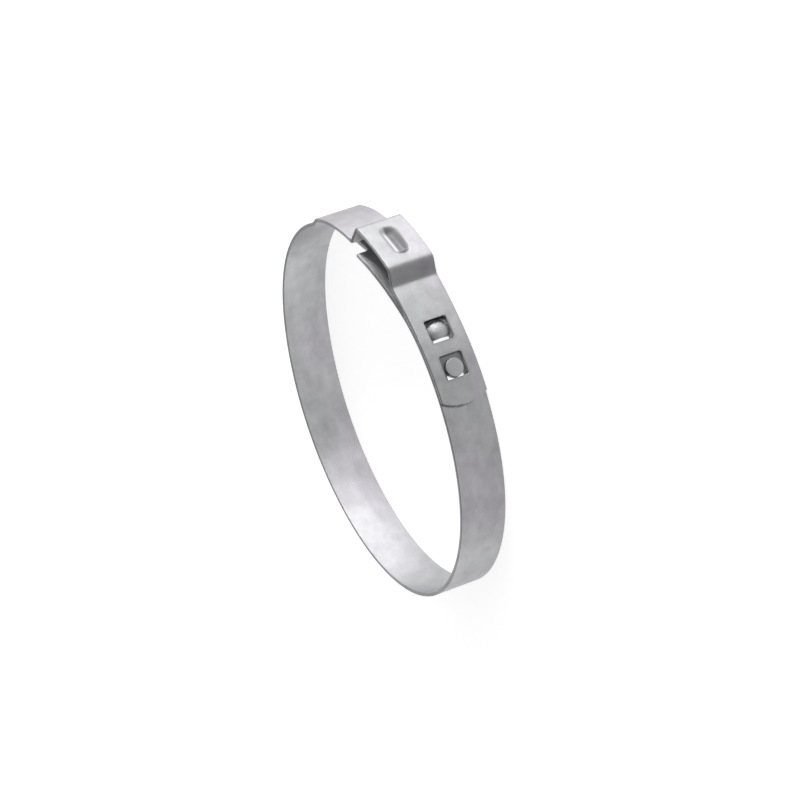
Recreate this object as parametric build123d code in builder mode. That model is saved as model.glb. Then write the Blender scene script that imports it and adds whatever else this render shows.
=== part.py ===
from build123d import *
from math import asin, atan, cos, degrees, radians, sin
import os

# Ear hose clamp: one strip of stainless steel, rolled into a ring that overlaps itself.
# The outer run of the strip carries the ear and two windows. The inner run has the two
# hooks that stand in the windows, and a narrow tongue that lies under the ear.
# The ring's axis is Z, and the ear is on +Y. Sizes are in millimetres, angles in degrees.

# Strip
strip_width = 7.0
strip_thickness = 0.6
edge_break = 0.1
layer_gap = 0.05

# Ring, by its inner face: the long arc that grips the hose, then a side arc up to the seat of the overlap
bore_radius = 27.35
bore_half_angle = 62.0
side_radius = 31.0
side_angle = 20.0

# Overlap, as lengths along the strip from the ear's right root towards the outer end
window_size = 3.4
window_corner = 0.3
root_to_window = 8.1
window_pitch = 5.4
window_to_end = 5.55
end_crown = 1.0
lift_length = 8.8
lift_radius = 39.0

# Ear, measured on the middle of the strip's thickness
ear_base_width = 12.1
ear_top_width = 9.6
ear_top_shift = 0.3
ear_height = 2.85
ear_crown = 0.37
ear_bend_radius = 0.6

# Dimple pressed into the ear's top
dimple_length = 6.4
dimple_width = 2.9
dimple_depth = 0.8
dimple_taper = 30.0
dimple_back_taper = 15.0
dimple_floor_round = 0.25
dimple_rim_round = 0.3

# Band from the ear's left root to the step that brings the strip back to the ring
band_length = 12.6
band_radius = 24.1
step_length = 0.75
step_bend_radius = 0.9

# Hooks pushed out of the inner run, with a slot on the side of the strip's outer end
hook_clearance = 0.05
hook_proud = 0.05
hook_skin = 0.5
button_diameter = 2.75
button_top_diameter = 2.6
button_edge_round = 0.1
slot_length = 0.6
slot_width = 2.6

# Free end of the inner run
bend_before_window = 2.5
bend_radius = 17.5
bend_length = 7.0
free_radius = 39.0
free_length = 13.0
tongue_radius = 45.0
tongue_length = 9.6
tongue_width = 3.2
shoulder_round = 0.5
tongue_tip_round = 1.2

half_width = strip_width / 2
half_thickness = strip_thickness / 2

# Where the arcs meet, and the seat's centre that follows from them
low_angle = bore_half_angle - 90
seat_angle = low_angle + side_angle
seat_end_angle = 180 - seat_angle
side_offset = side_radius - bore_radius
side_center_x = -side_offset * cos(radians(low_angle))
side_center_y = -side_offset * sin(radians(low_angle))
seat_radius = side_radius + side_center_x / cos(radians(seat_angle))
seat_center = Vector(0, side_center_y + (side_radius - seat_radius) * sin(radians(seat_angle)))

# Middle radii of the layers round the seat's centre
inner_layer_radius = seat_radius + half_thickness
outer_layer_radius = inner_layer_radius + strip_thickness + layer_gap
step_top_radius = inner_layer_radius + strip_thickness


def arc_angle(length, radius):
    """Angle that an arc of this length turns through."""
    return degrees(length / radius)


# Angles of the features round the seat's centre
ear_half_angle = degrees(asin(ear_base_width / 2 / outer_layer_radius))
root_angle = 90 - ear_half_angle
lift_angle = root_angle - arc_angle(lift_length, outer_layer_radius)
dome_angle = root_angle - arc_angle(root_to_window, outer_layer_radius)
button_angle = dome_angle - arc_angle(window_pitch, outer_layer_radius)
end_angle = button_angle - arc_angle(window_to_end, outer_layer_radius)
bend_angle = dome_angle - arc_angle(bend_before_window, outer_layer_radius)
step_angle = 90 + ear_half_angle + arc_angle(band_length, step_top_radius)
step_foot_angle = step_angle + arc_angle(step_length, step_top_radius)

# Ear's top corners, its crown, and the highest point of a hook over the middle of the inner layer
ear_top_y = seat_center.Y + inner_layer_radius + ear_height
ear_top_right = Vector(ear_top_shift + ear_top_width / 2, ear_top_y)
ear_top_left = Vector(ear_top_shift - ear_top_width / 2, ear_top_y)
ear_crown_point = Vector(ear_top_shift, ear_top_y + ear_crown)
hook_height = outer_layer_radius - inner_layer_radius + half_thickness + hook_proud

# The dome is part of a ball, as wide as its window allows where it leaves the strip
dome_rise = hook_height - half_thickness
dome_half_width = window_size / 2 - hook_clearance
dome_radius = (dome_half_width**2 + dome_rise**2) / (2 * dome_rise)

# The button bears on the side of its window nearest the outer end
button_shift = window_size / 2 - hook_clearance - button_diameter / 2
button_hook_angle = button_angle - arc_angle(button_shift, outer_layer_radius)


def on_seat(angle, radius):
    """Point at an angle and a radius round the seat's centre."""
    return seat_center + Vector(radius, 0).rotate(Axis.Z, angle)


def along_seat(angle):
    """Direction of the strip at an angle, anticlockwise seen from +Z."""
    return Vector(0, 1).rotate(Axis.Z, angle)


def strip_plane(point, direction):
    """Plane on the strip: X runs along it, Y across it and Z outwards."""
    return Plane(origin=point, x_dir=direction, z_dir=direction.rotate(Axis.Z, -90))


def seat_plane(angle, radius):
    """Plane on the strip where it lies on the seat."""
    return strip_plane(on_seat(angle, radius), along_seat(angle))


# Dome hook's outer form: what a ball shows above the middle of the inner layer, sheared straight beside the slot
dome_center = seat_plane(dome_angle, inner_layer_radius + hook_height - dome_radius)
dome_shear = on_seat(dome_angle, inner_layer_radius) + along_seat(dome_angle) * (slot_length - window_size / 2)
across_strip = (90, 0, 0)
with BuildPart() as dome_cap:
    with Locations(dome_center):
        Sphere(dome_radius, rotation=across_strip)
    split(bisect_by=seat_plane(dome_angle, inner_layer_radius), keep=Keep.TOP)
    split(bisect_by=Plane(dome_shear, z_dir=along_seat(dome_angle)), keep=Keep.TOP)

# Inner run: left side, long arc, right side and seat, then the free end that bends inwards
with BuildPart() as inner_run:
    with BuildSketch():
        with BuildLine() as inner_path:
            left_side = JernArc(
                on_seat(seat_end_angle, inner_layer_radius),
                along_seat(seat_end_angle),
                side_radius + half_thickness,
                side_angle,
            )
            long_arc = JernArc(left_side @ 1, left_side % 1, bore_radius + half_thickness, 2 * bore_half_angle)
            right_side = JernArc(long_arc @ 1, long_arc % 1, side_radius + half_thickness, side_angle)
            seat = JernArc(right_side @ 1, right_side % 1, inner_layer_radius, bend_angle - seat_angle)
            bend = JernArc(
                seat @ 1, seat % 1, bend_radius + half_thickness, arc_angle(bend_length, bend_radius)
            )
            free_arc = JernArc(
                bend @ 1, bend % 1, free_radius + half_thickness, arc_angle(free_length, free_radius)
            )
            tongue_arc = JernArc(
                free_arc @ 1, free_arc % 1, tongue_radius + half_thickness, arc_angle(tongue_length, tongue_radius)
            )
        trace(inner_path.wire(), strip_thickness)
    extrude(amount=half_width, both=True)

    # Tongue: both sides are sheared back to its width, and its tip is rounded
    with BuildSketch(strip_plane(free_arc @ 1, free_arc % 1)) as offcut:
        Rectangle(2 * tongue_length, 2 * strip_width, align=(Align.MIN, Align.CENTER))
        with Locations((tongue_length, 0)):
            Rectangle(2 * tongue_length, tongue_width, align=(Align.MAX, Align.CENTER), mode=Mode.SUBTRACT)
        beside_tongue = offcut.vertices().filter_by_position(Axis.Y, -tongue_width, tongue_width)
        fillet(beside_tongue.group_by(Axis.X)[0], shoulder_round)
        beside_tongue = offcut.vertices().filter_by_position(Axis.Y, -tongue_width, tongue_width)
        fillet(beside_tongue.group_by(Axis.X)[-1], tongue_tip_round)
    extrude(amount=tongue_length / 2, both=True, mode=Mode.SUBTRACT)

    # Dome hook, hollow underneath
    add(dome_cap.part)
    with Locations(dome_center):
        Sphere(dome_radius - hook_skin, rotation=across_strip, mode=Mode.SUBTRACT)

    # Slots beside the hooks
    for angle in (button_angle, dome_angle):
        with BuildSketch(seat_plane(angle, inner_layer_radius)):
            with Locations((-window_size / 2, 0)):
                Rectangle(slot_length, slot_width, align=(Align.MIN, Align.CENTER))
        extrude(amount=strip_thickness + hook_height, both=True, mode=Mode.SUBTRACT)

    # Button hook: round and flat on top, over part of its slot
    button_taper = degrees(atan((button_diameter - button_top_diameter) / 2 / hook_height))
    with BuildSketch(seat_plane(button_hook_angle, inner_layer_radius)):
        Circle(button_diameter / 2)
    extrude(amount=hook_height, taper=button_taper)
    button_out = Axis(seat_center, along_seat(button_hook_angle - 90))
    button_top = inner_run.faces().filter_by(GeomType.PLANE).sort_by(button_out)[-1]
    fillet(button_top.edges(), button_edge_round)
    with BuildSketch(seat_plane(button_hook_angle, inner_layer_radius - strip_thickness)):
        Circle(button_diameter / 2 - hook_skin)
    extrude(amount=strip_thickness + hook_height - hook_skin, mode=Mode.SUBTRACT)

# Outer run: outer layer of the overlap, lift, ear, and the band down to its step
with BuildPart() as outer_run:
    with BuildSketch():
        with BuildLine() as outer_path:
            spare = arc_angle(end_crown, outer_layer_radius)
            overlap = CenterArc(seat_center, outer_layer_radius, end_angle - spare, lift_angle - end_angle + spare)
            lift = JernArc(overlap @ 1, overlap % 1, lift_radius, arc_angle(lift_length, lift_radius))
            band_turn = arc_angle(band_length, band_radius)
            band_center = on_seat(step_angle, step_top_radius - band_radius)
            left_root = band_center + Vector(band_radius, 0).rotate(Axis.Z, step_angle - band_turn)
            Line(lift @ 1, ear_top_right)
            ThreePointArc(ear_top_right, ear_crown_point, ear_top_left)
            Line(ear_top_left, left_root)
            band = CenterArc(band_center, band_radius, step_angle - band_turn, band_turn)
            step_foot = on_seat(step_foot_angle, inner_layer_radius)
            Line(band @ 1, step_foot)
            CenterArc(seat_center, inner_layer_radius, step_foot_angle, seat_end_angle - step_foot_angle)
            for corner in (lift @ 1, ear_top_right, ear_top_left, left_root):
                fillet(outer_path.vertices().sort_by_distance(corner)[0], ear_bend_radius)
            for corner in (band @ 1, step_foot):
                fillet(outer_path.vertices().sort_by_distance(corner)[0], step_bend_radius)
        trace(outer_path.wire(), strip_thickness)
    extrude(amount=half_width, both=True)

    # Windows
    for angle in (button_angle, dome_angle):
        with BuildSketch(seat_plane(angle, outer_layer_radius)):
            RectangleRounded(window_size, window_size, window_corner)
        extrude(amount=strip_thickness, both=True, mode=Mode.SUBTRACT)

    # Outer end: sheared to an arc across the strip
    end_radius = (half_width**2 + end_crown**2) / (2 * end_crown)
    with BuildSketch(seat_plane(end_angle, outer_layer_radius)):
        Rectangle(4 * end_crown, 2 * strip_width)
        with Locations((end_radius, 0)):
            Circle(end_radius, mode=Mode.SUBTRACT)
    extrude(amount=strip_thickness, both=True, mode=Mode.SUBTRACT)

    # Dimple: the sheet bulges into the ear by as much as its top is hollowed
    with BuildSketch(strip_plane(ear_crown_point, Vector(-1, 0))):
        SlotOverall(dimple_length + strip_thickness, dimple_width + strip_thickness)
    extrude(amount=-half_thickness - dimple_depth, taper=dimple_back_taper)
    bulge_floor = outer_run.faces().filter_by(Plane.XZ).sort_by(Axis.Y)[-1]
    fillet(bulge_floor.edges(), dimple_rim_round)
    with BuildSketch(strip_plane(ear_crown_point + Vector(0, half_thickness), Vector(-1, 0))):
        SlotOverall(dimple_length, dimple_width)
    extrude(amount=-dimple_depth, taper=dimple_taper, mode=Mode.SUBTRACT)
    hollow_floor = outer_run.faces().filter_by(Plane.XZ).sort_by(Axis.Y)[-1]
    fillet(hollow_floor.edges(), dimple_floor_round)
    ear_top_face = outer_run.faces().filter_by(GeomType.CYLINDER).sort_by(Axis.Y)[-1]
    fillet(ear_top_face.inner_wires().edges(), dimple_rim_round)

# The two runs are one strip, whose long edges are broken all the way round
with BuildPart() as clamp_band:
    add(inner_run.part)
    add(outer_run.part)
    long_edges = clamp_band.edges().group_by(Axis.Z)
    chamfer(long_edges[0] + long_edges[-1], edge_break)

clamp_band.part.label = "clamp_band"
os.makedirs("parts", exist_ok=True)
export_step(clamp_band.part, "parts/clamp_band.step")
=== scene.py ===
import math
import bmesh
import bpy
import numpy as np
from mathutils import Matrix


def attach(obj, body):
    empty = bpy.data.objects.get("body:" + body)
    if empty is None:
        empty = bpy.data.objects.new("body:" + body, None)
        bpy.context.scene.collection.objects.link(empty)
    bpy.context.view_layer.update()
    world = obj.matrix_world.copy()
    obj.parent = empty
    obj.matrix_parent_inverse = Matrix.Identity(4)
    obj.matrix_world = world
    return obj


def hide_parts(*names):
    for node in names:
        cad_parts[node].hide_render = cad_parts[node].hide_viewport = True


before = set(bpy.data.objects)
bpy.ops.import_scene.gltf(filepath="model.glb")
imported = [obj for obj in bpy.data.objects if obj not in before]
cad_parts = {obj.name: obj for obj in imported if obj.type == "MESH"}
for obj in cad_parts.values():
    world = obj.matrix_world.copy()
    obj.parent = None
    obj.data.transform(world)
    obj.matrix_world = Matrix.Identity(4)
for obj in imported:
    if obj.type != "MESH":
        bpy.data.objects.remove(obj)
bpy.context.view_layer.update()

# Ear hose clamp: one steel strip, drawn here as its flat blank and then bent along the same path as the part.
# In the blank, u runs along the strip, v across it and h out of its middle surface.
# Lengths are in millimetres and angles in degrees, until the blank is bent.

MM = 0.001
MM_PER_CM = 10

# Strip
strip_width = 7.0
strip_thickness = 0.6
edge_break = 0.1
layer_gap = 0.05

# Ring
bore_radius = 27.35
bore_half_angle = 62.0
side_radius = 31.0
side_angle = 20.0

# Overlap
window_size = 3.4
window_corner = 0.3
root_to_window = 8.1
window_pitch = 5.4
window_to_end = 5.55
end_crown = 1.0
lift_length = 8.8
lift_radius = 39.0

# Ear
ear_base_width = 12.1
ear_top_width = 9.6
ear_top_shift = 0.3
ear_height = 2.85
ear_crown = 0.37

# Dimple
dimple_length = 6.4
dimple_width = 2.9
dimple_depth = 0.8
dimple_floor_width = 0.5

# Band and step
band_length = 12.6
band_radius = 24.1
step_length = 0.75

# Hooks
hook_clearance = 0.05
hook_proud = 0.05
hook_skin = 0.5
button_diameter = 2.75
button_top_diameter = 2.6
button_edge_round = 0.1
slot_length = 0.6
slot_width = 2.6
slot_corner = 0.1

# Free end
bend_before_window = 2.5
bend_radius = 17.5
bend_length = 7.0
free_radius = 39.0
free_length = 13.0
tongue_radius = 45.0
tongue_length = 9.6
tongue_width = 3.2
shoulder_round = 0.5
tongue_tip_round = 1.2

# Softness of the bends, and of the step within its reach
bend_softness = 0.3
step_softness = 0.55
step_reach = 1.2

# Breaking of the cut edges, and how much of it the slots get
cut_softness = 0.06
slot_flare = 0.3

# Spare path and blank past the two ends, and how far the cutters reach past what they cut
spare_angle = 4.0
spare_length = 2.0
blank_margin = 0.5
cut_margin = 1.0
waste_length = 3.0
tip_overlap = 0.01

# Fineness along the path and the blank
path_spacing = 0.02
same_point = 1e-6
softness_reach = 4
ear_top_points = 400
fine_spacing = 0.2
tongue_spacing = 0.35
wide_spacing = 0.7
fine_before_end = 1.0
fine_past_step = 2.0
fine_before_button = 7.0
fine_past_dome = 4.0

# Fineness across the blank and round its cuts and hooks
points_across = 39
middle_spacing = 0.6
edge_points = 5
corner_points = 7
end_points = 60
shoulder_points = 8
tip_points = 16
round_sides = 64
button_edge_points = 6
dome_levels = 24
crease_angle = 35

# Painted shade in the windows: how dark their walls and the recess below are drawn, and where these fade
wall_shade = 0.88
wall_shade_start = 0.12
wall_shade_end = 0.3
button_recess_shade = 0.55
dome_recess_shade = 0.6
recess_fade = 0.5

# Painted shadow at the outer end: on its face and in the line below it, and where both start across the strip
end_shade = 0.4
end_shadow_width = 0.3
end_shadow_start = -1.75
end_shadow_full = 0.875

# Painted shade on the dimple's wall on one side, and a painted highlight beside its floor
dimple_shade = 0.42
dimple_shade_power = 6
dimple_shade_full = 0.1
dimple_shade_end = 0.4
floor_highlight_gain = 2.0
floor_highlight_place = 0.52
floor_highlight_width = 0.1838
floor_highlight_fade = 0.5

# Painted shade on the ear's legs, the long edges and the free end's outer face, and painted light on the
# ring's inner face
leg_shade = 0.62
leg_fade = 0.9
leg_inset = 0.3
edge_shade = 0.75
bevel_shade = 0.8
free_shade = 0.42
free_fade = 3.0
# painted light: the ring's whole inner face drawn lighter
inner_painted_light = 1.3

# Steel: its two tints, how far noise changes its brightness and roughness, and its relief in metres
cool_steel = (0.37, 0.38, 0.382, 1)
warm_steel = (0.397, 0.383, 0.41, 1)
patch_shade = (0.95, 1.05)
cloud_shade = (0.9, 1.09)
streak_shade = (0.985, 1.015)
grain_shade = (0.96, 1.04)
patch_roughness = (0.4, 0.54)
grain_roughness = (-0.03, 0.03)
relief_height = 0.00003
grain_pull = 0.85
quarter_turn = 0.25

# Noise in the steel: stretch along the strip, features per centimetre, detail and roughness
tint_noise = (1.5, 0.5, 2, 0.5)
patch_noise = (1.2, 1.3, 2, 0.5)
cloud_noise = (1.2, 5.0, 6, 0.62)
streak_noise = (8, 14, 2, 0.5)
grain_noise = (1, 45, 2, 0.6)
roughness_noise = (1.6, 3.0, 3, 0.6)
noise_range = (0.3, 0.7)
tint_range = (0.4, 0.6)

# Floor, with its size in metres, and world
white = (1, 1, 1, 1)
floor_grey = (0.8, 0.8, 0.8, 1)
floor_glow = 0.62
floor_size = 4
world_level = 0.45
ceiling_level = 0.25
ceiling_start = 0.3

# Lamps: azimuth from +X and power of each, and the place and size of a softbox in metres
key_row = ((85, 0.45), (110, 0.88), (135, 0.87), (160, 0.52))
fill_azimuth = -65
fill_power = 0.28
softbox_distance = 0.5
softbox_middle = 0.085
softbox_width = 0.28
softbox_height = 0.1

# Camera: place, sensor and lens in millimetres, and its nearest view in metres
camera_place = (297.419, 323.012, 161.588)
camera_turn = (-41.5641, 62.1951, 2.2125)
camera_sensor = 36
camera_lens = 144
camera_clip = 0.01

# Sockets of a Mix node that mixes colours
MIX_FACTOR = 0
MIX_FIRST = 6
MIX_SECOND = 7
MIX_RESULT = 2

half_width = strip_width / 2
half_thickness = strip_thickness / 2
crown_radius = (half_width**2 + end_crown**2) / (2 * end_crown)

low_angle = bore_half_angle - 90
seat_angle = low_angle + side_angle
seat_end_angle = 180 - seat_angle
side_offset = side_radius - bore_radius
side_center_x = -side_offset * math.cos(math.radians(low_angle))
side_center_y = -side_offset * math.sin(math.radians(low_angle))
seat_radius = side_radius + side_center_x / math.cos(math.radians(seat_angle))
seat_center = np.array([0, side_center_y + (side_radius - seat_radius) * math.sin(math.radians(seat_angle))])
inner_layer_radius = seat_radius + half_thickness
outer_layer_radius = inner_layer_radius + strip_thickness + layer_gap
step_top_radius = inner_layer_radius + strip_thickness
hook_height = outer_layer_radius - inner_layer_radius + half_thickness + hook_proud


def arc_angle(length, radius):
    """Angle of an arc of a given length."""
    return math.degrees(length / radius)


ear_half_angle = math.degrees(math.asin(ear_base_width / 2 / outer_layer_radius))
root_angle = 90 - ear_half_angle
lift_angle = root_angle - arc_angle(lift_length, outer_layer_radius)
dome_angle = root_angle - arc_angle(root_to_window, outer_layer_radius)
button_angle = dome_angle - arc_angle(window_pitch, outer_layer_radius)
button_shift = arc_angle(window_size / 2 - hook_clearance - button_diameter / 2, outer_layer_radius)
end_angle = button_angle - arc_angle(window_to_end, outer_layer_radius)
bend_angle = dome_angle - arc_angle(bend_before_window, outer_layer_radius)
step_angle = 90 + ear_half_angle + arc_angle(band_length, step_top_radius)
step_foot_angle = step_angle + arc_angle(step_length, step_top_radius)
ear_top_y = seat_center[1] + inner_layer_radius + ear_height


def unit(angle):
    """Unit vector at an angle."""
    a = np.radians(angle)
    return np.stack([np.cos(a), np.sin(a)], axis=-1)


def fade(value, low, high):
    """0 below low, 1 above high, and smooth between them."""
    t = np.clip((value - low) / (high - low), 0, 1)
    return t * t * (3 - 2 * t)


def bell(distance, width):
    """1 at no distance, and falling off smoothly on both sides."""
    return np.exp(-0.5 * (distance / width) ** 2)


def arc(center, radius, start, turn):
    """Points along an arc."""
    count = max(int(abs(math.radians(turn)) * radius / path_spacing), 2)
    return center + radius * unit(np.linspace(start, start + turn, count))


def line(start, end):
    """Points along a straight run."""
    count = max(int(math.dist(start, end) / path_spacing), 2)
    return np.linspace(start, end, count)


def walk(center, radius, angle, turns):
    """Arcs that follow each other tangentially, from a list of radii and turns."""
    points = []
    for next_radius, turn in turns:
        center = center + (radius - next_radius) * unit(angle)
        points.append(arc(center, next_radius, angle, turn))
        radius = next_radius
        angle += turn
    return points


def length_along(points):
    """Length of the path up to each of its points."""
    return np.append(0, np.cumsum(np.hypot(*np.diff(points, axis=0).T)))


def softened(points, softness):
    """The same path with its corners rounded over a length."""
    reach = int(softness_reach * softness / path_spacing)
    weights = bell(np.arange(-reach, reach + 1) * path_spacing, softness)
    weights /= weights.sum()
    before = 2 * points[0] - points[reach:0:-1]
    after = 2 * points[-1] - points[-2:-reach - 2:-1]
    padded = np.concatenate([before, points, after])
    return np.stack([np.convolve(padded[:, k], weights, mode="valid") for k in (0, 1)], axis=1)


def ear_path(start, step_foot):
    """The ear, the band behind it and the step, between the outer layer and the inner one."""
    band_turn = arc_angle(band_length, band_radius)
    band_center = seat_center + (step_top_radius - band_radius) * unit(step_angle)
    band = arc(band_center, band_radius, step_angle - band_turn, band_turn)
    across = np.linspace(1, -1, ear_top_points)
    top = np.stack([
        ear_top_shift + across * ear_top_width / 2,
        ear_top_y + ear_crown * (1 - across**2),
    ], axis=1)
    return [line(start, top[0]), top, line(top[-1], band[0]), band, line(band[-1], step_foot)]


def strip_path():
    """The middle line of the strip, from its outer end to the tip of its tongue, with its bends softened."""
    outer = walk(seat_center, outer_layer_radius, end_angle - spare_angle, [
        (outer_layer_radius, lift_angle - end_angle + spare_angle),
        (lift_radius, arc_angle(lift_length, lift_radius)),
    ])
    step_foot = seat_center + inner_layer_radius * unit(step_foot_angle)
    ear = ear_path(outer[-1][-1], step_foot)
    inner = walk(seat_center, inner_layer_radius, step_foot_angle, [
        (inner_layer_radius, seat_end_angle - step_foot_angle),
        (side_radius + half_thickness, side_angle),
        (bore_radius + half_thickness, 2 * bore_half_angle),
        (side_radius + half_thickness, side_angle),
        (inner_layer_radius, bend_angle - seat_angle),
        (bend_radius + half_thickness, arc_angle(bend_length, bend_radius)),
        (free_radius + half_thickness, arc_angle(free_length, free_radius)),
        (tongue_radius + half_thickness, arc_angle(tongue_length + spare_length, tongue_radius)),
    ])
    points = np.concatenate(outer + ear + inner)
    steps = np.hypot(*np.diff(points, axis=0).T)
    points = points[np.append(True, steps > same_point)]
    length = length_along(points)
    even = np.arange(0, length[-1], path_spacing)
    points = np.stack([np.interp(even, length, points[:, k]) for k in (0, 1)], axis=1)
    step_middle = even[np.argmin(np.hypot(*(points - step_foot).T))] - step_length / 2
    near_step = bell(even - step_middle, step_reach)[:, None]
    return softened(points, bend_softness) * (1 - near_step) + softened(points, step_softness) * near_step


path = strip_path()
path_u = length_along(path)
tangent = np.gradient(path, path_u, axis=0)
tangent /= np.linalg.norm(tangent, axis=1)[:, None]
outward = np.stack([tangent[:, 1], -tangent[:, 0]], axis=1)
from_seat = path - seat_center
path_angle = np.degrees(np.unwrap(np.arctan2(from_seat[:, 1], from_seat[:, 0])))


def u_at(angle):
    """Place along the blank of an angle round the seat. The inner layer's angles are a full turn on."""
    return float(np.interp(angle, path_angle, path_u))


def u_over(x):
    """Place along the blank of a point of the ear's top."""
    return u_at(math.degrees(math.atan2(ear_top_y - seat_center[1], x)))


u_end = u_at(end_angle)
u_end_below = u_at(360 + end_angle)
u_button_window = u_at(button_angle)
u_dome_window = u_at(dome_angle)
u_ear = u_over(ear_top_shift)
u_button_slot = u_at(360 + button_angle)
u_button = u_at(360 + button_angle - button_shift)
u_dome = u_at(360 + dome_angle)
u_shoulder = float(path_u[-1]) - tongue_length - spare_length
u_tip = float(path_u[-1]) - spare_length
legs = [
    (u_at(root_angle), u_over(ear_top_shift + ear_top_width / 2)),
    (u_over(ear_top_shift - ear_top_width / 2), u_at(90 + ear_half_angle)),
]


def column(name, loops):
    """A closed object through loops of (u, v, h) points, joined one to the next and capped at both ends."""
    bm = bmesh.new()
    rings = [[bm.verts.new(point) for point in loop] for loop in loops]
    for low, high in zip(rings, rings[1:]):
        for k in range(len(low)):
            bm.faces.new((low[k - 1], low[k], high[k], high[k - 1]))
    bm.faces.new(rings[0])
    bm.faces.new(rings[-1])
    bmesh.ops.recalc_face_normals(bm, faces=bm.faces)
    mesh = bpy.data.meshes.new(name)
    bm.to_mesh(mesh)
    bm.free()
    piece = bpy.data.objects.new(name, mesh)
    bpy.context.scene.collection.objects.link(piece)
    return piece


def stack(name, levels):
    """A column through outlines of (u, v) points, each at its own height h."""
    return column(name, [[(u, v, h) for u, v in outline] for h, outline in levels])


def round_box(center, length, width, corner, grow):
    """Outline of a rectangle with round corners, grown outwards."""
    radius = corner + grow
    points = []
    for quarter, (su, sv) in enumerate(((1, 1), (-1, 1), (-1, -1), (1, -1))):
        corner_center = np.array([center + su * (length / 2 - corner), sv * (width / 2 - corner)])
        angles = np.linspace(quarter * 90, quarter * 90 + 90, corner_points)
        points.extend(corner_center + radius * unit(angles))
    return points


def cutter(outline):
    """Column that cuts through the strip and breaks the edges of its hole. outline(grow) gives the hole."""
    reach = 2 * half_thickness
    core = half_thickness - cut_softness
    return stack("cutter", [
        (-reach, outline(reach - core)),
        (-core, outline(0)),
        (core, outline(0)),
        (reach, outline(reach - core)),
    ])


def stations_along():
    """Places along the blank where its sections stand, closer together where it is shaped."""
    last = u_tip + blank_margin
    fine = [
        (u_end - fine_before_end, u_at(step_foot_angle) + fine_past_step, fine_spacing),
        (u_button - fine_before_button, u_dome + fine_past_dome, fine_spacing),
        (u_dome + fine_past_dome, last, tongue_spacing),
    ]
    stations = [u_end - blank_margin]
    while stations[-1] < last:
        spacing = wide_spacing
        for low, high, closer in fine:
            if low <= stations[-1] < high:
                spacing = closer
        stations.append(stations[-1] + spacing)
    return stations


def section_outline():
    """The strip's section as (v, h) points, with rounded edges and more points in the middle of its faces."""
    flat_half = half_width - edge_break

    def corner(sv, sh, start):
        center = np.array([sv * flat_half, sh * (half_thickness - edge_break)])
        return [tuple(center + edge_break * unit(a)) for a in np.linspace(start, start - 90, edge_points)]

    even = np.linspace(-1, 1, points_across)
    across = flat_half * (middle_spacing * even + (1 - middle_spacing) * even**3)
    outer_face = [(v, half_thickness) for v in across]
    inner_face = [(v, -half_thickness) for v in across[::-1]]
    right_edge = corner(1, 1, 90)[1:] + corner(1, -1, 0)
    left_edge = corner(-1, -1, -90)[1:] + corner(-1, 1, -180)[:-1]
    return outer_face + right_edge + inner_face[1:] + left_edge


def blank():
    """The flat strip as a closed bar, a little longer than the strip at both ends."""
    section = section_outline()
    return column("clamp_strip", [[(u, v, h) for v, h in section] for u in stations_along()])


def combine(piece, tool, operation):
    """Adds a solid to the piece or cuts it away."""
    modifier = piece.modifiers.new("combine", "BOOLEAN")
    modifier.operation = operation
    modifier.solver = "MANIFOLD"
    modifier.object = tool
    bpy.context.view_layer.update()
    graph = bpy.context.evaluated_depsgraph_get()
    mesh = bpy.data.meshes.new_from_object(piece.evaluated_get(graph))
    piece.modifiers.clear()
    piece.data = mesh
    bpy.data.objects.remove(tool)


def end_outline(grow):
    """What is sheared off beyond the crowned outer end."""
    radius = crown_radius - grow
    spread = math.degrees(math.asin((half_width + cut_margin) / radius))
    center = np.array([u_end + radius + grow, 0])
    edge = list(center + radius * unit(np.linspace(180 - spread, 180 + spread, end_points)))
    outside = half_width + cut_margin
    return [(u_end - waste_length, outside)] + edge + [(u_end - waste_length, -outside)]


def tongue_outline(side):
    """What is sheared off beside the tongue, on one side of it, with half of the tip."""
    def outline(grow):
        outside = half_width + cut_margin
        shoulder = np.array([u_shoulder + shoulder_round, tongue_width / 2 + shoulder_round])
        root = shoulder + (shoulder_round + grow) * unit(np.linspace(180, 270, shoulder_points))
        tip = np.array([u_tip - tongue_tip_round, tongue_width / 2 - tongue_tip_round])
        nose = tip + (tongue_tip_round - grow) * unit(np.linspace(90, 0, tip_points))
        points = [(u_shoulder - grow, outside), *root, *nose, (u_tip - grow, -tip_overlap)]
        points += [(u_tip + waste_length, -tip_overlap), (u_tip + waste_length, outside)]
        return [(u, side * v) for u, v in points]
    return outline


def cut_blank(strip):
    """Shears the ends, and pierces the windows and the slots beside the hooks."""
    combine(strip, cutter(end_outline), "DIFFERENCE")
    for side in (1, -1):
        combine(strip, cutter(tongue_outline(side)), "DIFFERENCE")
    for center in (u_button_window, u_dome_window):
        hole = cutter(lambda grow: round_box(center, window_size, window_size, window_corner, grow))
        combine(strip, hole, "DIFFERENCE")
    for center in (u_button_slot, u_dome):
        middle = center + (slot_length - window_size) / 2
        hole = cutter(lambda grow: round_box(middle, slot_length, slot_width, slot_corner, grow * slot_flare))
        combine(strip, hole, "DIFFERENCE")


def ring_of_points(u, radius):
    """Circle round a place on the blank."""
    return [(u + radius * c, radius * s) for c, s in unit(np.linspace(0, 360, round_sides + 1)[:-1])]


def add_button(strip):
    """Round hook with a flat top, hollow underneath."""
    wall = [(0, button_diameter / 2), (hook_height - button_edge_round, button_top_diameter / 2)]
    for a in np.linspace(0, 90, button_edge_points)[1:]:
        out, up = button_edge_round * unit(a)
        wall.append((hook_height - button_edge_round + up, button_top_diameter / 2 - button_edge_round + out))
    combine(strip, stack("button", [(h, ring_of_points(u_button, radius)) for h, radius in wall]), "UNION")
    hollow = button_diameter / 2 - hook_skin
    combine(strip, stack("hollow", [
        (-strip_thickness, ring_of_points(u_button, hollow)),
        (hook_height - hook_skin, ring_of_points(u_button, hollow)),
    ]), "DIFFERENCE")


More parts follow.
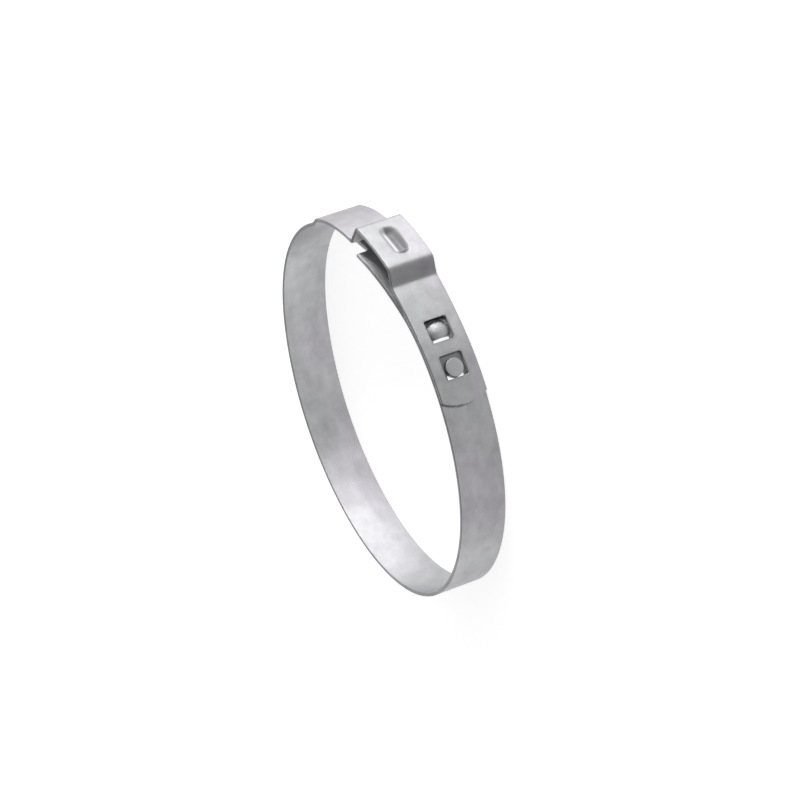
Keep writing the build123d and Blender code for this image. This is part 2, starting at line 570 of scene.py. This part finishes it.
def add_dome(strip):
    """Hook pushed out by a ball, sheared straight beside its slot and hollow underneath."""
    rise = hook_height - half_thickness
    half_wide = window_size / 2 - hook_clearance
    ball = (half_wide**2 + rise**2) / (2 * rise)
    middle = [np.interp(u_dome, path_u, path[:, k]) for k in (0, 1)]
    sunk = inner_layer_radius - math.dist(seat_center, middle)
    top = hook_height + sunk
    shear = u_dome + slot_length - window_size / 2

    def cap(radius, foot, front):
        levels = []
        lowest = math.asin((foot - top + ball) / radius)
        for a in np.linspace(lowest, math.pi / 2, dome_levels)[:-1]:
            outline = ring_of_points(u_dome, radius * math.cos(a))
            levels.append((top - ball + radius * math.sin(a), [(max(u, front), v) for u, v in outline]))
        return levels

    combine(strip, stack("dome", cap(ball, 0, shear)), "UNION")
    hollow = cap(ball - hook_skin, -strip_thickness, shear - slot_length)
    combine(strip, stack("hollow", hollow), "DIFFERENCE")


def up_dimple(u, v):
    """How far up the dimple's wall a place on the blank is: 0 on its floor, and 1 on its rim and beyond."""
    half_straight = (dimple_length - dimple_width) / 2
    away = np.hypot(np.maximum(np.abs(u - u_ear) - half_straight, 0), v)
    return np.clip((away - dimple_floor_width / 2) / ((dimple_width - dimple_floor_width) / 2), 0, 1)


def dimple_drop(u, v):
    """How far the ear's top is pressed in at a place on the blank."""
    return dimple_depth * (1 - fade(up_dimple(u, v), 0, 1))


def crown_drop(v):
    """How far the crowned outer end falls back from its tip at a place across the strip."""
    return crown_radius - np.sqrt(crown_radius**2 - v**2)


def painted(amount, shade):
    """Painted brightness that is 1 where the amount is 0, and the shade where it is 1."""
    return 1 - (1 - shade) * amount


def window_painted_shade(u, v, h):
    """Painted shade on the walls of the windows, and on the inner layer round the hooks in them."""
    painted_light = np.ones(len(u))
    for window, below, recess_shade in (
        (u_button_window, u_button_slot, button_recess_shade),
        (u_dome_window, u_dome, dome_recess_shade),
    ):
        past_wall = np.maximum(np.abs(u - window), np.abs(v)) - window_size / 2
        past_recess = np.maximum(np.abs(u - below), np.abs(v)) - window_size / 2
        wall = 1 - fade(past_wall, wall_shade_start, wall_shade_end)
        low = (1 - fade(h, half_thickness, hook_height)) * (h > 0)
        recess = (1 - fade(past_recess, 0, recess_fade)) * low
        # painted shade: darker window walls, and a darker recess round each hook
        painted_light *= painted(wall, wall_shade) * painted(recess, recess_shade)
    return painted_light


def end_painted_shadow(u, v, h):
    """Painted shadow on the face of the outer end, and in the line where it meets the inner layer, on one
    half of the strip.
    """
    end_face = u_end + crown_drop(v)
    half = fade(v, end_shadow_start, end_shadow_full)
    face = (1 - fade(u - end_face, edge_break / 2, edge_break)) * half
    below = u_end_below + (end_face - u_end) * inner_layer_radius / outer_layer_radius
    # painted shadow line where the outer end meets the inner layer
    shadow_line = (1 - fade(np.abs(u - below), end_shadow_width / 2, end_shadow_width)) * half * (h > 0)
    return painted(face, end_shade) * painted(shadow_line, end_shade)


def dimple_painted_light(u, v):
    """Painted shade on the dimple's wall on one side of it, and a painted highlight beside its floor on the
    other.
    """
    wall = (1 - up_dimple(u, v)**dimple_shade_power) * (1 - fade(v, dimple_shade_full, dimple_shade_end))
    half_straight = (dimple_length - dimple_width) / 2
    straight = 1 - fade(np.abs(u - u_ear), half_straight, dimple_length / 2 - floor_highlight_fade)
    # painted highlight beside the dimple's floor
    floor_highlight = bell(v - floor_highlight_place, floor_highlight_width) * straight
    return painted(wall, dimple_shade) * painted(floor_highlight, floor_highlight_gain)


def leg_painted_shade(u):
    """Painted shade on the ear's legs."""
    painted_light = np.ones(len(u))
    for start, end in legs:
        away = np.maximum(start - u, u - end) + leg_inset
        # painted shade on each leg
        painted_light *= painted(1 - fade(away, 0, leg_fade), leg_shade)
    return painted_light


def edge_painted_shade(v):
    """Painted shade on the sheared long edges, and a little more on the bevel halfway down to them."""
    sheared = fade(np.abs(v), half_width - edge_break, half_width)
    halfway = 4 * sheared * (1 - sheared)
    # painted shade on the edges, and a painted dark line on the bevel
    return painted(sheared, edge_shade) - (1 - bevel_shade) * halfway


def face_painted_light(u, h):
    """Painted shade on the outer face of the free end under the ear, and painted light on the inner face of
    the whole strip.
    """
    bend = u_shoulder - free_length
    free_part = fade(u, bend - free_fade, bend) * (1 - fade(u, bend + free_length / 2, u_shoulder))
    inner_face = 1 - fade(h, -half_thickness, 0)
    # painted shade under the ear, and painted light on the inner face
    return painted(free_part * (h > 0), free_shade) * painted(inner_face, inner_painted_light)


def paint_light_and_shade(mesh, u, v, h):
    """Keeps the painted light and shade at each point of the blank."""
    painted_light = window_painted_shade(u, v, h) * end_painted_shadow(u, v, h) * dimple_painted_light(u, v)
    painted_light *= leg_painted_shade(u) * edge_painted_shade(v) * face_painted_light(u, h)
    painted_light_layer = mesh.attributes.new("painted_light", "FLOAT", "POINT")
    painted_light_layer.data.foreach_set("value", painted_light.astype(np.float32))


def lay_out(mesh, u, v):
    """Keeps each point's place on the blank as a UV map in centimetres, for the grain to follow the strip."""
    corners = np.empty(len(mesh.loops), np.int32)
    mesh.loops.foreach_get("vertex_index", corners)
    places = np.stack([u[corners], v[corners]], axis=1) / MM_PER_CM
    layer = mesh.uv_layers.new(name="blank")
    layer.data.foreach_set("uv", places.astype(np.float32).ravel())


def roll(strip):
    """Presses the dimple and bends the blank along the path."""
    mesh = strip.data
    flat = np.empty(len(mesh.vertices) * 3, np.float32)
    mesh.vertices.foreach_get("co", flat)
    u, v, h = flat.reshape(-1, 3).astype(float).T
    lay_out(mesh, u, v)
    # painted light and shade, worked out on the flat blank
    paint_light_and_shade(mesh, u, v, h)
    h = h - dimple_drop(u, v)
    place = [np.interp(u, path_u, path[:, k]) + np.interp(u, path_u, outward[:, k]) * h for k in (0, 1)]
    bent = np.stack([place[0], place[1], v], axis=1) * MM
    mesh.vertices.foreach_set("co", bent.astype(np.float32).ravel())
    mesh.update()


def steel():
    """Satin rolled steel: cloudy patches, faint streaks along the strip, and fine grain, under the painted
    light and shade kept on the blank.
    """
    material = bpy.data.materials.new("band_steel")
    material.use_nodes = True
    nodes = material.node_tree.nodes
    links = material.node_tree.links
    shader = nodes["Principled BSDF"]
    shader.inputs["Metallic"].default_value = 1.0
    shader.inputs["Anisotropic"].default_value = grain_pull
    shader.inputs["Anisotropic Rotation"].default_value = quarter_turn
    along = nodes.new("ShaderNodeTangent")
    along.direction_type = "UV_MAP"
    along.uv_map = "blank"
    links.new(along.outputs["Tangent"], shader.inputs["Tangent"])
    place = nodes.new("ShaderNodeUVMap")
    place.uv_map = "blank"

    def noise(stretch, scale, detail, roughness):
        """Noise over the blank, drawn out along the strip."""
        mapping = nodes.new("ShaderNodeMapping")
        mapping.inputs["Scale"].default_value = (1 / stretch, 1, 1)
        links.new(place.outputs["UV"], mapping.inputs["Vector"])
        texture = nodes.new("ShaderNodeTexNoise")
        texture.inputs["Scale"].default_value = scale
        texture.inputs["Detail"].default_value = detail
        texture.inputs["Roughness"].default_value = roughness
        links.new(mapping.outputs["Vector"], texture.inputs["Vector"])
        return texture.outputs["Fac"]

    def ranged(value, start, end):
        """Carries a value from one range over to another."""
        node = nodes.new("ShaderNodeMapRange")
        node.inputs["From Min"].default_value = start[0]
        node.inputs["From Max"].default_value = start[1]
        node.inputs["To Min"].default_value = end[0]
        node.inputs["To Max"].default_value = end[1]
        links.new(value, node.inputs["Value"])
        return node.outputs["Result"]

    def together(operation, first, second):
        """Joins two values by a sum or a product."""
        node = nodes.new("ShaderNodeMath")
        node.operation = operation
        links.new(first, node.inputs[0])
        links.new(second, node.inputs[1])
        return node.outputs[0]

    clouds = noise(*cloud_noise)
    streaks = noise(*streak_noise)
    grain = noise(*grain_noise)

    tint = nodes.new("ShaderNodeMix")
    tint.data_type = "RGBA"
    tint.inputs[MIX_FIRST].default_value = cool_steel
    tint.inputs[MIX_SECOND].default_value = warm_steel
    links.new(ranged(noise(*tint_noise), tint_range, (0, 1)), tint.inputs[MIX_FACTOR])

    # painted light and shade kept on the blank, multiplied into the base colour
    painted_light_layer = nodes.new("ShaderNodeAttribute")
    painted_light_layer.attribute_name = "painted_light"
    shade = painted_light_layer.outputs["Fac"]
    for layer, layer_shade in (
        (clouds, cloud_shade),
        (streaks, streak_shade),
        (grain, grain_shade),
        (noise(*patch_noise), patch_shade),
    ):
        shade = together("MULTIPLY", shade, ranged(layer, noise_range, layer_shade))
    colour = nodes.new("ShaderNodeVectorMath")
    colour.operation = "SCALE"
    links.new(tint.outputs[MIX_RESULT], colour.inputs[0])
    links.new(shade, colour.inputs["Scale"])
    links.new(colour.outputs[0], shader.inputs["Base Color"])

    patches = ranged(noise(*roughness_noise), noise_range, patch_roughness)
    fine = ranged(grain, noise_range, grain_roughness)
    links.new(together("ADD", patches, fine), shader.inputs["Roughness"])

    relief = nodes.new("ShaderNodeBump")
    relief.inputs["Distance"].default_value = relief_height
    links.new(together("ADD", clouds, grain), relief.inputs["Height"])
    links.new(relief.outputs["Normal"], shader.inputs["Normal"])
    return material


def seen_directly(nodes, links):
    """1 for the rays that show the background: from the camera, and by reflection or through glass."""
    light_path = nodes.new("ShaderNodeLightPath")
    seen = light_path.outputs["Is Camera Ray"]
    for ray in ("Is Glossy Ray", "Is Transmission Ray"):
        either = nodes.new("ShaderNodeMath")
        either.operation = "MAXIMUM"
        links.new(seen, either.inputs[0])
        links.new(light_path.outputs[ray], either.inputs[1])
        seen = either.outputs[0]
    return seen


def white_floor():
    """Pale floor that is white where it is seen, and keeps the object's shadow."""
    material = bpy.data.materials.new("floor")
    material.use_nodes = True
    nodes = material.node_tree.nodes
    links = material.node_tree.links
    shader = nodes["Principled BSDF"]
    shader.inputs["Base Color"].default_value = floor_grey
    shader.inputs["Roughness"].default_value = 1.0
    shader.inputs["Specular IOR Level"].default_value = 0.0
    shader.inputs["Emission Color"].default_value = white
    glow = nodes.new("ShaderNodeMath")
    glow.operation = "MULTIPLY"
    glow.inputs[1].default_value = floor_glow
    links.new(seen_directly(nodes, links), glow.inputs[0])
    links.new(glow.outputs[0], shader.inputs["Emission Strength"])
    return material


def studio():
    """World that lights the object evenly, and is white where it is seen, and greyer towards the ceiling."""
    world = bpy.data.worlds.new("studio")
    world.use_nodes = True
    nodes = world.node_tree.nodes
    links = world.node_tree.links
    background = nodes["Background"]
    background.inputs["Color"].default_value = white
    direction = nodes.new("ShaderNodeTexCoord")
    height = nodes.new("ShaderNodeSeparateXYZ")
    links.new(direction.outputs["Generated"], height.inputs[0])
    seen_level = nodes.new("ShaderNodeMapRange")
    seen_level.inputs["From Min"].default_value = ceiling_start
    seen_level.inputs["To Min"].default_value = 1.0
    seen_level.inputs["To Max"].default_value = ceiling_level
    links.new(height.outputs["Z"], seen_level.inputs["Value"])
    level = nodes.new("ShaderNodeMapRange")
    level.inputs["To Min"].default_value = world_level
    links.new(seen_level.outputs[0], level.inputs["To Max"])
    links.new(seen_directly(nodes, links), level.inputs["Value"])
    links.new(level.outputs[0], background.inputs["Strength"])
    return world


def softbox(name, azimuth, power):
    """Low lamp that faces the ring."""
    data = bpy.data.lights.new(name, "AREA")
    data.shape = "RECTANGLE"
    data.size = softbox_width
    data.size_y = softbox_height
    data.energy = power
    lamp = bpy.data.objects.new(name, data)
    away = unit(azimuth) * softbox_distance
    lamp.location = (away[0], away[1], softbox_middle)
    lamp.rotation_euler = lamp.location.to_track_quat("Z", "Y").to_euler()
    bpy.context.scene.collection.objects.link(lamp)


def photograph_camera():
    """Camera at the photograph's viewpoint."""
    data = bpy.data.cameras.new("camera")
    data.sensor_width = camera_sensor
    data.lens = camera_lens
    data.clip_start = camera_clip
    camera = bpy.data.objects.new("camera", data)
    camera.location = [place * MM for place in camera_place]
    camera.rotation_euler = [math.radians(turn) for turn in camera_turn]
    bpy.context.scene.collection.objects.link(camera)
    return camera


# Clamp
strip = blank()
cut_blank(strip)
add_button(strip)
add_dome(strip)
roll(strip)
for polygon in strip.data.polygons:
    polygon.use_smooth = True
strip.data.set_sharp_from_angle(angle=math.radians(crease_angle))
strip.data.materials.clear()
strip.data.materials.append(steel())
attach(strip, "root")
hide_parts("clamp_band")

# Floor, at the strip's lower edge
bpy.ops.mesh.primitive_plane_add(size=floor_size, location=(0, 0, -half_width * MM))
floor = bpy.context.object
floor.name = "floor"
floor.data.materials.append(white_floor())

# Light
bpy.context.scene.world = studio()
for azimuth, power in key_row:
    softbox("key_light", azimuth, power)
softbox("fill_light", fill_azimuth, fill_power)

# View
bpy.context.scene.camera = photograph_camera()
bpy.context.scene.view_settings.view_transform = "Standard"
